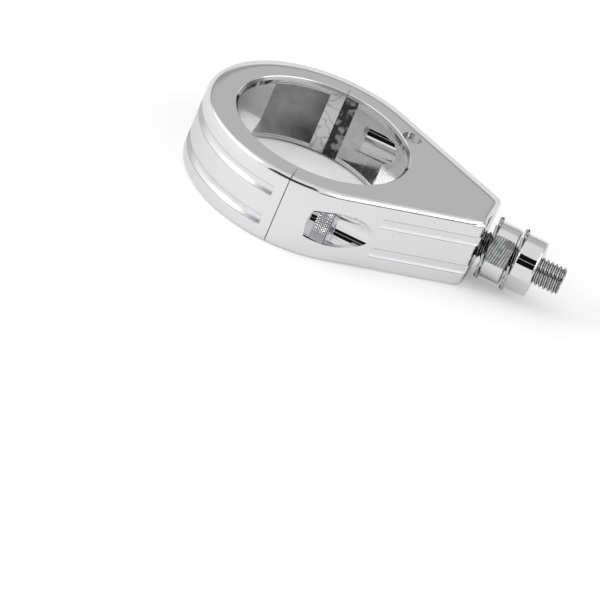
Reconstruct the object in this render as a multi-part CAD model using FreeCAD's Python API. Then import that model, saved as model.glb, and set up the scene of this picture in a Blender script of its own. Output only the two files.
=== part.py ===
import FreeCAD, Part
import math
import os

# Two-piece clamp for a round tube, with a hollow threaded stud on its nose.
# All sizes are millimetres. The origin is the centre of the tube's bore.
# Z runs along the bore, X points to the nose and the stud.

# Clamp halves
tube_diameter = 49.0
ring_wall = 9.0
clamp_height = 20.8
nose_reach = 18.1
flank_angle = 30.0
nose_corner_radius = 2.3
outer_edge_radius = 1.5
bore_chamfer = 0.8
split_gap = 0.2
plate_thickness = 2.1

# Grooves round the outside
groove_width = 2.7
groove_spacing = 9.4
cap_groove_depth = 1.0
cap_groove_setback = 3.0
flank_groove_depth = 0.7
flank_groove_start = 26.5

# Inside of the front half
side_wall_relief = 0.4
flank_wall = 4.4
nose_wall = 9.0
cavity_corner_radius = 3.0

# Inside of the rear half
cap_wall = 2.2
cap_pad_depth = 4.2

# Clamp screws
screw_to_bore = 4.6
screw_diameter = 6.0
screw_length = 14.0
screw_head_diameter = 10.0
screw_head_height = 4.4
screw_head_chamfer = 0.4
screw_tip_chamfer = 0.6
socket_width = 4.0
socket_depth = 2.3
screw_seat = 9.0
spring_washer_diameter = 9.9
spring_washer_thickness = 1.6
spring_washer_clearance = 0.1
spring_washer_slit = 0.6
spring_washer_slit_angle = 20.0
pocket_clearance = 0.25
pocket_wall = 1.25
pocket_end_wall = 0.8
screw_hole_clearance = 0.2
screw_tap_clearance = 0.05

# Hole through the top plate only
plate_hole_diameter = 5.5
plate_hole_to_bore = 3.6
plate_hole_angle = 39.8

# Stud and what is threaded on it
stud_diameter = 8.0
stud_bore_diameter = 5.2
stud_reach = 24.4
stud_end_chamfer = 0.7
thread_engaged_depth = 0.35
thread_engaged_margin = 0.3
thread_clearance = 0.05
nut_diameter = 16.2
nut_flat_width = 14.2
nut_thickness = 6.3
nut_edge_chamfer = 0.5
inner_nut_turn = 29.0
outer_nut_turn = -32.0
washer_diameter = 18.0
washer_thickness = 0.8
washer_hole_clearance = 0.2
washer_tooth_count = 12
washer_tooth_length = 2.2
washer_notch_width = 1.6
inner_washer_standoff = 2.0
nut_spacing = 0.6

# Values that follow from the driving sizes
bore_radius = tube_diameter / 2
ring_radius = bore_radius + ring_wall
half_height = clamp_height / 2
nose_distance = ring_radius + nose_reach
side_wall_offset = bore_radius - side_wall_relief
screw_offset = bore_radius + screw_to_bore
head_seat = screw_seat + spring_washer_thickness
tangent_angle = math.radians(90.0 - flank_angle)
cavity_height = clamp_height - 2 * plate_thickness
cavity_end = nose_distance - nose_wall
channel_radius = ring_radius - cap_wall
screw_radius = screw_diameter / 2
pocket_radius = screw_head_diameter / 2 + pocket_clearance
pocket_boss_radius = pocket_radius + pocket_wall
stud_radius = stud_diameter / 2
engaged_radius = stud_radius - thread_engaged_depth
stud_end = nose_distance + stud_reach
inner_washer_start = nose_distance + inner_washer_standoff
inner_nut_start = inner_washer_start + washer_thickness
outer_washer_start = inner_nut_start + nut_thickness + nut_spacing
outer_nut_start = outer_washer_start + washer_thickness
past = 20.0

X_AXIS = FreeCAD.Vector(1, 0, 0)
Z_AXIS = FreeCAD.Vector(0, 0, 1)


def point(x, y, z=0.0):
    return FreeCAD.Vector(x, y, z)


def rod(radius, start, end, y=0.0):
    """Cylinder along X between two stations, level with the middle of the clamp."""
    return Part.makeCylinder(radius, end - start, point(start, y), X_AXIS)


def disc(radius, bottom, top):
    """Cylinder along the tube's axis between two heights."""
    return Part.makeCylinder(radius, top - bottom, point(0, 0, bottom), Z_AXIS)


def slab(x_low, x_high):
    """Block that holds everything between two planes across X."""
    reach = 2 * (ring_radius + past)
    block = Part.makeBox(x_high - x_low, reach, reach)
    block.translate(point(x_low, -reach / 2, -reach / 2))
    return block


def prism(face, height):
    """Face in the XY plane raised to a body centred on the clamp's middle."""
    body = face.extrude(point(0, 0, height))
    body.translate(point(0, 0, -height / 2))
    return body


def polygon_face(corners):
    loop = corners + corners[:1]
    return Part.Face(Part.makePolygon([point(x, y) for x, y in loop]))


def flank_y(x, inset):
    """Where the straight flank, moved in by an inset, stands at a station x."""
    radius = ring_radius - inset
    return (radius - x * math.cos(tangent_angle)) / math.sin(tangent_angle)


def outline_face():
    """Ring with two tangent flanks that run to a flat nose, seen from above."""
    tangent_x = ring_radius * math.cos(tangent_angle)
    tangent_y = ring_radius * math.sin(tangent_angle)
    nose_y = flank_y(nose_distance, 0)
    corners = [
        point(tangent_x, -tangent_y),
        point(nose_distance, -nose_y),
        point(nose_distance, nose_y),
        point(tangent_x, tangent_y),
    ]
    edges = [Part.Arc(corners[-1], point(-ring_radius, 0), corners[0]).toShape()]
    for start, end in zip(corners, corners[1:]):
        edges.append(Part.LineSegment(start, end).toShape())
    return Part.Face(Part.Wire(edges))


def is_upright(edge):
    low, high = edge.BoundBox.ZMin, edge.BoundBox.ZMax
    return high - low > clamp_height / 2


def is_level(edge):
    return edge.BoundBox.ZLength < 0.001


def clamp_blank():
    """Both halves as one rounded block, before the bore and the insides."""
    block = prism(outline_face(), clamp_height)
    nose_edges = [e for e in block.Edges if is_upright(e) and e.CenterOfMass.x > nose_distance - 1]
    block = block.makeFillet(nose_corner_radius, nose_edges)
    rim_edges = [e for e in block.Edges if is_level(e)]
    return block.makeFillet(outer_edge_radius, rim_edges)


def tube_bore():
    """What the tube takes away, with a chamfer at both mouths and its seam at the split."""
    mouth_radius = bore_radius + bore_chamfer
    bore = disc(bore_radius, -half_height - past, half_height + past)
    for side in (-1, 1):
        mouth = Part.makeCone(
            mouth_radius,
            bore_radius,
            bore_chamfer,
            point(0, 0, side * half_height),
            point(0, 0, -side),
        )
        bore = bore.fuse(mouth)
    bore.rotate(point(0, 0), Z_AXIS, 90)
    return bore


def groove_heights():
    return (-groove_spacing / 2, groove_spacing / 2)


def cap_grooves():
    """Two square grooves round the back, which stop short of the split."""
    cutters = []
    for height in groove_heights():
        low, high = height - groove_width / 2, height + groove_width / 2
        band = disc(ring_radius + past, low, high).cut(disc(ring_radius - cap_groove_depth, low, high))
        cutters.append(band.common(slab(-ring_radius - past, -cap_groove_setback)))
    return cutters


def flank_grooves():
    """Two shallow grooves along each flank, which run out at the nose."""
    far_x = nose_distance + past
    near_y = flank_y(flank_groove_start, flank_groove_depth)
    far_y = flank_y(far_x, flank_groove_depth)
    cutters = []
    for side in (-1, 1):
        corners = [
            (flank_groove_start, side * near_y),
            (far_x, side * far_y),
            (far_x, side * (far_y + past)),
            (flank_groove_start, side * (near_y + past)),
        ]
        for height in groove_heights():
            cutter = prism(polygon_face(corners), groove_width)
            cutter.translate(point(0, 0, height))
            cutters.append(cutter)
    return cutters


def cavity():
    """Hollow of the front half: two straight sides, then walls that follow the flanks."""
    end_y = flank_y(cavity_end, flank_wall)
    bend_x = (ring_radius - flank_wall - side_wall_offset * math.sin(tangent_angle)) / math.cos(tangent_angle)
    corners = [
        (0, side_wall_offset),
        (bend_x, side_wall_offset),
        (cavity_end, end_y),
        (cavity_end, -end_y),
        (bend_x, -side_wall_offset),
        (0, -side_wall_offset),
    ]
    hollow = prism(polygon_face(corners), cavity_height)
    end_edges = [
        e for e in hollow.Edges
        if e.BoundBox.ZLength > cavity_height / 2 and e.CenterOfMass.x > cavity_end - 1
    ]
    hollow = hollow.makeFillet(cavity_corner_radius, end_edges)
    for side in (-1, 1):
        boss = rod(pocket_boss_radius, screw_seat - pocket_end_wall, cavity_end, side * screw_offset)
        hollow = hollow.cut(boss)
    return hollow


def channel():
    """Hollow of the rear half, between its two plates and its two end pads."""
    hollow = disc(channel_radius, -cavity_height / 2, cavity_height / 2)
    return hollow.common(slab(-ring_radius - past, -cap_pad_depth))


def plate_hole():
    """Hole through the top plate, beside the bore."""
    distance = bore_radius + plate_hole_to_bore
    angle = math.radians(plate_hole_angle)
    centre = point(distance * math.cos(angle), distance * math.sin(angle))
    return Part.makeCylinder(plate_hole_diameter / 2, half_height + past, centre)


def front_body():
    body = clamp_blank().common(slab(split_gap / 2, nose_distance + past))
    cutters = flank_grooves() + [cavity()]
    for side in (-1, 1):
        y = side * screw_offset
        cutters.append(rod(pocket_radius, screw_seat, nose_distance + past, y))
        cutters.append(rod(screw_radius + screw_hole_clearance, -past, screw_seat + past, y))
    cutters.append(rod(engaged_radius + thread_clearance, 0, nose_distance + past))
    cutters.append(plate_hole())
    cutters.append(tube_bore())
    for cutter in cutters:
        body = body.cut(cutter)
    return body


def rear_cap():
    cap = clamp_blank().common(slab(-ring_radius - past, -split_gap / 2))
    cutters = cap_grooves() + [channel(), tube_bore()]
    for side in (-1, 1):
        tap = rod(screw_radius + screw_tap_clearance, -cap_pad_depth, past, side * screw_offset)
        cutters.append(tap)
    for cutter in cutters:
        cap = cap.cut(cutter)
    return cap


def hexagon(width):
    """Six-sided face across X, with flats above and below."""
    radius = width / 2 / math.cos(math.radians(30.0))
    corners = []
    for step in range(7):
        angle = math.radians(60.0 * step)
        corners.append(point(0, radius * math.cos(angle), radius * math.sin(angle)))
    return Part.Face(Part.makePolygon(corners))


def clamp_screw(side):
    """Socket head cap screw, its head in the pocket and its tip in the rear half."""
    y = side * screw_offset
    head_end = head_seat + screw_head_height
    tip = head_seat - screw_length
    head = rod(screw_head_diameter / 2, head_seat, head_end, y)
    rim = [e for e in head.Edges if is_across(e, head_end)]
    head = head.makeChamfer(screw_head_chamfer, rim)
    shank = rod(screw_radius, tip, head_seat, y)
    end = [e for e in shank.Edges if is_across(e, tip)]
    shank = shank.makeChamfer(screw_tip_chamfer, end)
    socket = hexagon(socket_width).extrude(point(socket_depth, 0, 0))
    socket.translate(point(head_end - socket_depth, y))
    return head.fuse(shank).cut(socket).removeSplitter()


def is_across(edge, x):
    box = edge.BoundBox
    return box.XLength < 0.001 and abs(box.XMin - x) < 0.001


def spring_washer(side):
    """Square-section washer under a screw head, cut through at one slanted slit."""
    y = side * screw_offset
    hole_radius = screw_radius + spring_washer_clearance
    ring = rod(spring_washer_diameter / 2, screw_seat, head_seat, y)
    ring = ring.cut(rod(hole_radius, screw_seat - past, head_seat + past, y))
    slit = Part.makeBox(2 * past, spring_washer_slit, past)
    slit.translate(point(-past, -spring_washer_slit / 2, 0))
    slit.rotate(point(0, 0), Z_AXIS, side * spring_washer_slit_angle)
    slit.translate(point((screw_seat + head_seat) / 2, y))
    return ring.cut(slit)


def hollow_stud():
    """Tube with its thread's crest radius where it is bare, and the pitch radius where it is engaged."""
    stud = rod(stud_radius, nose_distance, stud_end)
    ends = [e for e in stud.Edges if is_across(e, stud_end)]
    stud = stud.makeChamfer(stud_end_chamfer, ends)
    stud = stud.fuse(rod(engaged_radius, cavity_end, nose_distance))
    for start in (inner_nut_start, outer_nut_start):
        low = start - thread_engaged_margin
        high = start + nut_thickness + thread_engaged_margin
        sleeve = rod(stud_radius + past, low, high).cut(rod(engaged_radius, low - past, high + past))
        stud = stud.cut(sleeve)
    return stud.cut(rod(stud_bore_diameter / 2, cavity_end - past, stud_end + past))


def nut(start, turn):
    """Round nut with two wrench flats, one facing -Y before the nut is turned about X."""
    end = start + nut_thickness
    blank = rod(nut_diameter / 2, start, end)
    rims = [e for e in blank.Edges if is_across(e, start) or is_across(e, end)]
    blank = blank.makeChamfer(nut_edge_chamfer, rims)
    flats = Part.makeBox(nut_thickness, nut_flat_width, nut_diameter)
    flats.translate(point(start, -nut_flat_width / 2, -nut_diameter / 2))
    flats.rotate(point(0, 0), X_AXIS, -turn)
    hole_radius = engaged_radius + thread_clearance
    return blank.common(flats).cut(rod(hole_radius, start - past, end + past))


def lock_washer(start):
    """Washer with square teeth round its rim."""
    end = start + washer_thickness
    outer_radius = washer_diameter / 2
    ring = rod(outer_radius, start, end).cut(
        rod(stud_radius + washer_hole_clearance, start - past, end + past))
    notch = Part.makeBox(washer_thickness + 2 * past, washer_notch_width, washer_tooth_length + past)
    notch.translate(point(start - past, -washer_notch_width / 2, outer_radius - washer_tooth_length))
    for step in range(washer_tooth_count):
        cutter = notch.copy()
        cutter.rotate(point(0, 0), X_AXIS, 360.0 * (step + 0.5) / washer_tooth_count)
        ring = ring.cut(cutter)
    return ring


pieces = {
    "front_body": front_body(),
    "rear_cap": rear_cap(),
    "left_screw": clamp_screw(1),
    "right_screw": clamp_screw(-1),
    "left_spring_washer": spring_washer(1),
    "right_spring_washer": spring_washer(-1),
    "stud": hollow_stud(),
    "inner_washer": lock_washer(inner_washer_start),
    "inner_nut": nut(inner_nut_start, inner_nut_turn),
    "outer_washer": lock_washer(outer_washer_start),
    "outer_nut": nut(outer_nut_start, outer_nut_turn),
}

os.makedirs("parts", exist_ok=True)
for name, shape in pieces.items():
    solid = shape if shape.ShapeType == "Solid" else shape.Solids[0]
    solid.exportStep("parts/" + name + ".step")
    print(name, shape.isValid(), len(shape.Solids), round(solid.Volume, 1), solid.BoundBox)
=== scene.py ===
import math

import bpy
from bpy.props import FloatProperty, FloatVectorProperty, IntProperty, PointerProperty
from mathutils import Matrix, Vector


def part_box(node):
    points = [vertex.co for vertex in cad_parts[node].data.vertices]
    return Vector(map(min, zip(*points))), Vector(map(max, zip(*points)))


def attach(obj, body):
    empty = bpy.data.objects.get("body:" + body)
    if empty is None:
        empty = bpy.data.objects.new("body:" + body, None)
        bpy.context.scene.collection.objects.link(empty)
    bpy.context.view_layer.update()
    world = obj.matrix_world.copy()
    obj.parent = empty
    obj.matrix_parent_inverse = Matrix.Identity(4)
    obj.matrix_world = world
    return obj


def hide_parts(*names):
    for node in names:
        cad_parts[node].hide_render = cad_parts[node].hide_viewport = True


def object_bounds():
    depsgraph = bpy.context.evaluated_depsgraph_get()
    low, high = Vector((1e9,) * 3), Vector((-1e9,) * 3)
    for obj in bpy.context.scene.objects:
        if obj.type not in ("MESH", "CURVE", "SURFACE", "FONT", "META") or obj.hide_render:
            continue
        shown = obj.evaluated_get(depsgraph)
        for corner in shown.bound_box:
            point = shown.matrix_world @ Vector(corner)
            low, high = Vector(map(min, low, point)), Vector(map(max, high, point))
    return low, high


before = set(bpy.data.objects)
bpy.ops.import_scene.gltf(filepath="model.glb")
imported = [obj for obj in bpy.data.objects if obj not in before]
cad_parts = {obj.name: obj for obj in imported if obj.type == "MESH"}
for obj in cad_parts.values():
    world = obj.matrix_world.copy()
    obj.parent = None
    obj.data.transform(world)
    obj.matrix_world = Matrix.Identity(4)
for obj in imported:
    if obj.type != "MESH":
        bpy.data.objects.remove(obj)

bl_info = {
    "name": "Tube clamp finish",
    "version": (1, 0, 0),
    "blender": (4, 5, 0),
    "location": "3D View > Sidebar > Tube Clamp",
    "description": "Chrome finish, threads, knurls and studio for a two-piece tube clamp",
    "category": "Object",
}

MM = 0.001
X, Y, Z = range(3)

CAD_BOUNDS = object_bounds()


# Sizes that follow from the frame

def station(node, end):
    """Where a node starts (0) or ends (1) along X, in metres."""
    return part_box(node)[end][X]


def reach(node, axis):
    """Half the width of a node along one axis, in metres."""
    low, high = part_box(node)
    return (high[axis] - low[axis]) / 2


def middle(node, axis):
    """Where the middle of a node lies along one axis, in metres."""
    low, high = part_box(node)
    return (high[axis] + low[axis]) / 2


# Properties

def metres(name, text, value):
    return FloatProperty(name=name, description=text, default=value, unit="LENGTH")


def degrees(name, text, value):
    return FloatProperty(name=name, description=text, default=math.radians(value), subtype="ANGLE")


def brightness(name, text, value):
    return FloatProperty(name=name, description=text, default=value)


def paint(name, text, color):
    return FloatVectorProperty(
        name=name, description=text, default=color, size=3, min=0, max=1, subtype="COLOR")


def spot(name, text, place):
    return FloatVectorProperty(
        name=name, description=text, default=place, subtype="TRANSLATION", unit="LENGTH")


class StudioSettings(bpy.types.PropertyGroup):
    """Camera, floor and the light tent round the clamp."""

    lens: FloatProperty(
        name="Lens", description="Focal length of the camera", default=420.0, unit="CAMERA")
    camera_place: spot("Camera place", "Where the camera stands", (0.149097, -1.668945, 0.899495))
    floor_width: metres("Floor width", "Side of the square floor", 8.0)
    floor_color: paint("Floor color", "Tone of the floor", (0.93, 0.93, 0.933))
    floor_lift: brightness("Floor lift", "Brightness that the picture adds to the floor", 0.24)
    tent_low: brightness("Tent at the horizon", "Brightness of the tent's lower rim", 0.8)
    tent_high: brightness("Tent overhead", "Brightness of the tent's top", 0.74)
    rear_foot: brightness("Rear wall foot", "Brightness where the rear wall meets the floor", 0.78)
    rear_low: brightness("Rear wall low", "Brightness of the rear wall above its foot", 0.34)
    rear_high: brightness("Rear wall high", "Brightness of the rear wall's head", 0.49)
    side_light: brightness("Side light", "Brightness of the large light on the right", 1.5)
    side_azimuth: degrees("Side light azimuth", "Middle of the side light, from -Y towards +X", 78.0)
    side_half_width: degrees(
        "Side light half width", "Half the angle that the side light covers sideways", 40.0)
    side_elevation: degrees("Side light elevation", "Middle of the side light above the floor", 37.0)
    side_half_height: degrees(
        "Side light half height", "Half the angle that the side light covers upwards", 21.0)
    left_light: brightness("Left light", "Brightness of the weaker light on the left", 1.1)
    left_azimuth: degrees("Left light azimuth", "Middle of the left light, from -Y towards +X", -85.0)
    fill_place: spot("Fill place", "Where the small fill light stands", (-0.22, -0.16, 0.2))
    fill_aim: spot("Fill aim", "Spot on the floor that the fill light looks at", (-0.04, -0.03, 0.0))
    fill_size: metres("Fill size", "Side of the square fill light", 0.12)
    fill_power: FloatProperty(
        name="Fill power", description="Strength of the fill light", default=0.2, unit="POWER")
    gap_tone: brightness("Gap", "Brightness of the gap between the side light and the floor", 0.05)
    gap_elevation: degrees("Gap elevation", "Middle of that gap above the floor", 8.0)
    gap_half_height: degrees("Gap half height", "Half the angle that the gap covers upwards", 5.0)
    hood_tone: brightness("Hood", "Brightness of the dark hood round the camera", 0.006)
    hood_azimuth: degrees("Hood azimuth", "Middle of the hood, from -Y towards +X", -2.0)
    hood_elevation: degrees("Hood elevation", "Middle of the hood above the floor", 39.0)
    hood_half_width: degrees("Hood half width", "Half the angle that the hood covers sideways", 26.0)
    hood_half_height: degrees("Hood half height", "Half the angle that the hood covers upwards", 20.5)
    slit_half_height: degrees("Slit half height", "Half the angle of the light slit in the hood", 1.1)
    slit_tone: brightness("Slit", "Brightness of the slit in the hood", 0.42)


class PlatingSettings(bpy.types.PropertyGroup):
    """Colors of the plated metals."""

    chrome: paint("Chrome", "Reflection color of the polished halves", (0.9, 0.9, 0.905))
    satin: paint("Satin", "Reflection color of the front half's unpolished inside", (0.8, 0.8, 0.805))
    dull: paint("Dull", "Color of the rear half's recess", (0.6, 0.6, 0.605))
    steel: paint("Steel", "Reflection color of the screws", (0.62, 0.62, 0.63))
    zinc: paint("Zinc", "Reflection color of the washers", (0.62, 0.62, 0.63))
    # Painted shade: this darker color on the bore's mouth chamfers stands for the dark reflection seen at
    # the bore's edge
    turned: paint(
        "Turned", "Reflection color of the turned chamfer in the bore's mouths", (0.34, 0.34, 0.345))
    # Painted shade: this dark color stands for shade at the bottom of threads and knurls, on the stud's
    # flanks and between its nuts, in the split and along the grooves' edges, and for the dark reflections
    # on the front half's pads
    shade_paint: paint("Groove", "Color at the bottom of threads and knurls", (0.06, 0.06, 0.062))


class CastingSettings(bpy.types.PropertyGroup):
    """Where the two halves are polished and where they keep their cast skin."""

    bore_radius: metres("Bore radius", "Half the tube's width", 24.5 * MM)
    mouth: metres("Mouth", "Chamfer at both mouths of the bore", 0.8 * MM)
    mouth_rim: metres("Mouth rim", "Polished part of that chamfer", 0.14 * MM)
    groove_spacing: metres("Groove spacing", "Distance between the two grooves", 9.4 * MM)
    groove_width: metres("Groove width", "Width of a groove", 2.7 * MM)
    # Painted shade: the darker line along a groove's edges stands for the dark reflection in their rounding
    groove_edge: metres("Groove edge", "Width of the darker line along a groove's edges", 0.2 * MM)
    front_groove_start: metres("Front groove start", "Where the grooves of the flanks start", 26.5 * MM)
    rear_groove_stop: metres(
        "Rear groove stop", "How far the rear half's grooves stop before the split", 3.0 * MM)
    ring_radius: metres("Ring radius", "Half the ring's outer width", 33.5 * MM)
    plate: metres("Plate", "Thickness of the top and bottom plates", 2.1 * MM)
    wall: metres("Wall", "Polished thickness of the side walls", 1.5 * MM)
    taper: degrees("Taper", "Lean of the nose's flanks", 30.0)
    boss_radius: metres("Boss radius", "Half the width of the polished screw bosses", 6.58 * MM)
    boss_start: metres("Boss start", "Where the polish of the screw bosses starts", 9.4 * MM)
    nose_start: metres("Nose start", "Where the cavity ends before the nose", 44.5 * MM)
    recess_radius: metres("Recess radius", "Radius of the rear half's recess", 31.6 * MM)
    recess_start: metres("Recess start", "Where the dull skin starts behind the pads", -4.17 * MM)
    recess_end: metres("Recess end", "Where the dull skin gives way to a brighter one", -19.3 * MM)
    pad_end: metres("Pad end", "End of the narrow pads of the front half", 3.9 * MM)
    buffed_width: metres(
        "Buffed width", "How far the buffing rounds the plates from their outline inwards", 4.2 * MM)
    buffed_radius: metres("Buffed radius", "Radius of the rounding that the buffing leaves", 8.0 * MM)


class ThreadSettings(bpy.types.PropertyGroup):
    """Threads and knurls that the solids leave out."""

    stud_pitch: metres("Stud pitch", "Pitch of the stud's thread", 1.25 * MM)
    stud_depth: metres("Stud thread depth", "Crest to root", 0.66 * MM)
    screw_pitch: metres("Screw pitch", "Pitch of the clamp screws", 1.0 * MM)
    screw_depth: metres("Screw thread depth", "Crest to root", 0.5 * MM)
    knurl_count: IntProperty(
        name="Knurls", description="Knurl lines round a screw head", default=40, min=12)
    knurl_depth: metres("Knurl depth", "Depth of the knurl's grooves", 0.2 * MM)


class WasherSettings(bpy.types.PropertyGroup):
    """Teeth of the lock washers."""

    tooth_count: IntProperty(
        name="Teeth", description="Teeth round a lock washer", default=12, min=6)
    tooth_length: metres("Tooth length", "Root to tip", 2.3 * MM)
    root_width: metres("Root width", "Width of a tooth at its root", 3.2 * MM)
    tip_width: metres("Tip width", "Width of a tooth at its tip", 4.1 * MM)
    twist: degrees("Twist", "How far a tooth is turned about its own length", 7.0)
    hole_radius: metres("Hole radius", "Half the hole's width", 4.2 * MM)


class NutSettings(bpy.types.PropertyGroup):
    """Round nuts with two wrench flats."""

    edge_radius: metres("Edge radius", "Rounding of the nut's rims", 0.75 * MM)
    flat_width: metres("Flat width", "Distance between the two wrench flats", 14.2 * MM)
    hole_radius: metres("Hole radius", "Half the threaded hole's width", 3.7 * MM)
    inner_turn: degrees("Inner nut turn", "How far the inner nut's flats are turned", 29.0)
    outer_turn: degrees("Outer nut turn", "How far the outer nut's flats are turned", -32.0)
    inner_milling: FloatProperty(
        name="Inner nut milling", description="Strength of the cutter marks on the inner nut's flats",
        default=1.0, min=0, max=1)
    outer_milling: FloatProperty(
        name="Outer nut milling", description="Strength of the cutter marks on the outer nut's flats",
        default=0.0, min=0, max=1)


# Node trees

class Graph:
    """Short calls that add nodes to one tree and join them."""

    def __init__(self, tree):
        self.tree = tree
        self.tree.nodes.clear()

    def add(self, kind, **settings):
        node = self.tree.nodes.new(kind)
        for name, value in settings.items():
            setattr(node, name, value)
        return node

    def feed(self, socket, value):
        if isinstance(value, bpy.types.NodeSocket):
            self.tree.links.new(value, socket)
        elif socket.type == "RGBA":
            socket.default_value = (*value, 1)
        else:
            socket.default_value = value

    def math(self, operation, *values):
        node = self.add("ShaderNodeMath", operation=operation)
        for socket, value in zip(node.inputs, values):
            self.feed(socket, value)
        return node.outputs[0]

    def plus(self, first, second):
        return self.math("ADD", first, second)

    def minus(self, first, second):
        return self.math("SUBTRACT", first, second)

    def ratio(self, first, second):
        return self.math("DIVIDE", first, second)

    def unsigned(self, value):
        return self.math("ABSOLUTE", value)

    def product(self, *values):
        whole = values[0]
        for value in values[1:]:
            whole = self.math("MULTIPLY", whole, value)
        return whole

    def rest(self, mask):
        """1 where a mask is 0, and 0 where it is 1."""
        return self.math("SUBTRACT", 1.0, mask)

    def ramp(self, value, low, high, start=0.0, end=1.0):
        """A smooth step from start to end while the value goes from low to high."""
        node = self.add("ShaderNodeMapRange", interpolation_type="SMOOTHSTEP")
        for name, item in zip(("Value", "From Min", "From Max", "To Min", "To Max"),
                              (value, low, high, start, end)):
            self.feed(node.inputs[name], item)
        return node.outputs["Result"]

    def past(self, value, edge, soft):
        """0 before an edge and 1 past it, with a smooth step from edge - soft to edge + soft."""
        return self.ramp(self.minus(value, edge), -soft, soft)

    def before(self, value, edge, soft):
        """1 before an edge and 0 past it."""
        return self.ramp(self.minus(value, edge), -soft, soft, 1.0, 0.0)

    def off(self, value, centre):
        """How far a value is from a centre, on either side."""
        return self.unsigned(self.minus(value, centre))

    def band(self, value, centre, half, soft):
        """1 where the value is within half of the centre, and 0 beyond."""
        return self.before(self.off(value, centre), half, soft)

    def mix(self, factor, first, second):
        node = self.add("ShaderNodeMix", data_type="FLOAT")
        self.feed(node.inputs[0], factor)
        self.feed(node.inputs[2], first)
        self.feed(node.inputs[3], second)
        return node.outputs[0]

    def blend(self, factor, first, second):
        """Mix of two colors."""
        node = self.add("ShaderNodeMix", data_type="RGBA")
        self.feed(node.inputs[0], factor)
        self.feed(node.inputs[6], first)
        self.feed(node.inputs[7], second)
        return node.outputs[2]

    def noise(self, vector, scale, detail=3.0, roughness=0.5):
        node = self.add("ShaderNodeTexNoise")
        self.feed(node.inputs["Vector"], vector)
        self.feed(node.inputs["Scale"], scale)
        self.feed(node.inputs["Detail"], detail)
        self.feed(node.inputs["Roughness"], roughness)
        return node.outputs["Fac"]

    def parts(self, vector):
        node = self.add("ShaderNodeSeparateXYZ")
        self.feed(node.inputs[0], vector)
        return node.outputs

    def length(self, a, b):
        """Length of the hypotenuse over two sides."""
        squares = [self.product(side, side) for side in (a, b)]
        return self.math("SQRT", self.plus(*squares))

    def place(self):
        """Position on the piece, which is its position in the frame."""
        return self.add("ShaderNodeTexCoord").outputs["Object"]

    def relief(self, height, distance, strength=1.0, under=None):
        """Normal of a relief, on top of the normal of a broader one where that is given."""
        node = self.add("ShaderNodeBump")
        node.inputs["Distance"].default_value = distance
        node.inputs["Strength"].default_value = strength
        self.feed(node.inputs["Height"], height)
        if under:
            self.feed(node.inputs["Normal"], under)
        return node.outputs[0]

    def group(self, name, **values):
        """Outputs of a node group; a value's key is its socket's name, with _ for a space."""
        node = self.add("ShaderNodeGroup", node_tree=bpy.data.node_groups[name])
        for key, value in values.items():
            self.feed(node.inputs[key.replace("_", " ").capitalize()], value)
        return node.outputs


# Node groups

# Half widths of the smooth steps from one finish to the next
HAIR = 0.02 * MM
THIN = 0.03 * MM
FINE = 0.04 * MM
CLOSE = 0.05 * MM
SOFT = 0.1 * MM
WIDE = 0.2 * MM

# How much higher the pads' swells are than the polishing lines
PAD_SWELL = 8.0
# How far from a wrench flat its cutter marks still show, and how far their lines wander
FLAT_TOLERANCE = 0.04 * MM
CUTTER_WANDER = 0.5 * MM
# Depths under the outline where a groove's walls and floor lie, as a middle and a half
GROOVE_MIDDLE = 0.55 * MM
GROOVE_HALF = 0.53 * MM
# Depth down to which a point still lies on the outer surface, and how softly that ends
SURFACE = 0.045 * MM
SURFACE_SOFT = 0.015 * MM
# Depth under the flat faces down to which buffing shades, and how softly that ends
BUFFED_DEPTH = 1.675 * MM
BUFFED_SOFT = 0.075 * MM
# A distance from the plate's end at which buffing has no effect
FAR = 1.0


def new_group(name, inputs, outputs):
    """Empty node group with its graph and end nodes; an input is a vector (None) or a number."""
    tree = bpy.data.node_groups.new(name, "ShaderNodeTree")
    for socket, default in inputs.items():
        kind = "NodeSocketVector" if default is None else "NodeSocketFloat"
        made = tree.interface.new_socket(name=socket, in_out="INPUT", socket_type=kind)
        if default is not None:
            made.default_value = default
    for socket in outputs:
        tree.interface.new_socket(name=socket, in_out="OUTPUT", socket_type="NodeSocketFloat")
    graph = Graph(tree)
    entry = graph.add("NodeGroupInput").outputs
    leave = graph.add("NodeGroupOutput").inputs
    return graph, entry, leave


def polish_group():
    """Haze and fine polishing lines, as a roughness that varies and a height."""
    inputs = {"Place": None, "Low": 0.03, "High": 0.08, "Scale": 90.0}
    graph, entry, leave = new_group("polish", inputs, ("Roughness", "Height"))
    haze = graph.noise(entry["Place"], entry["Scale"], detail=4.0, roughness=0.6)
    share = graph.ramp(haze, low=0.35, high=0.7)
    graph.feed(leave["Roughness"], graph.mix(share, entry["Low"], entry["High"]))
    wave_scale = graph.product(entry["Scale"], 0.9)
    graph.feed(leave["Height"], graph.noise(entry["Place"], wave_scale, detail=1.0, roughness=0.4))


def casting_group():
    """Unpolished cast skin: blotches for the color, and a fine grain."""
    inputs = {"Place": None, "Scale": 160.0}
    graph, entry, leave = new_group("cast_skin", inputs, ("Blotch", "Grain"))
    blotch = graph.noise(entry["Place"], entry["Scale"], detail=5.0, roughness=0.62)
    graph.feed(leave["Blotch"], graph.ramp(blotch, low=0.33, high=0.68))
    grain_scale = graph.product(entry["Scale"], 14.0)
    graph.feed(leave["Grain"], graph.noise(entry["Place"], grain_scale, detail=2.0))


def ripple_group():
    """Wavering lines and swells, as they show in a hand-polished pad."""
    inputs = {"Place": None, "Scale": 300.0, "Width": 0.03}
    graph, entry, leave = new_group("ripple", inputs, ("Line", "Swell"))
    swell = graph.noise(entry["Place"], entry["Scale"], detail=1.0, roughness=0.45)
    core = graph.product(entry["Width"], 0.4)
    graph.feed(leave["Line"], graph.ramp(graph.off(swell, 0.5), core, entry["Width"], 1.0, 0.0))
    graph.feed(leave["Swell"], swell)


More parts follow.
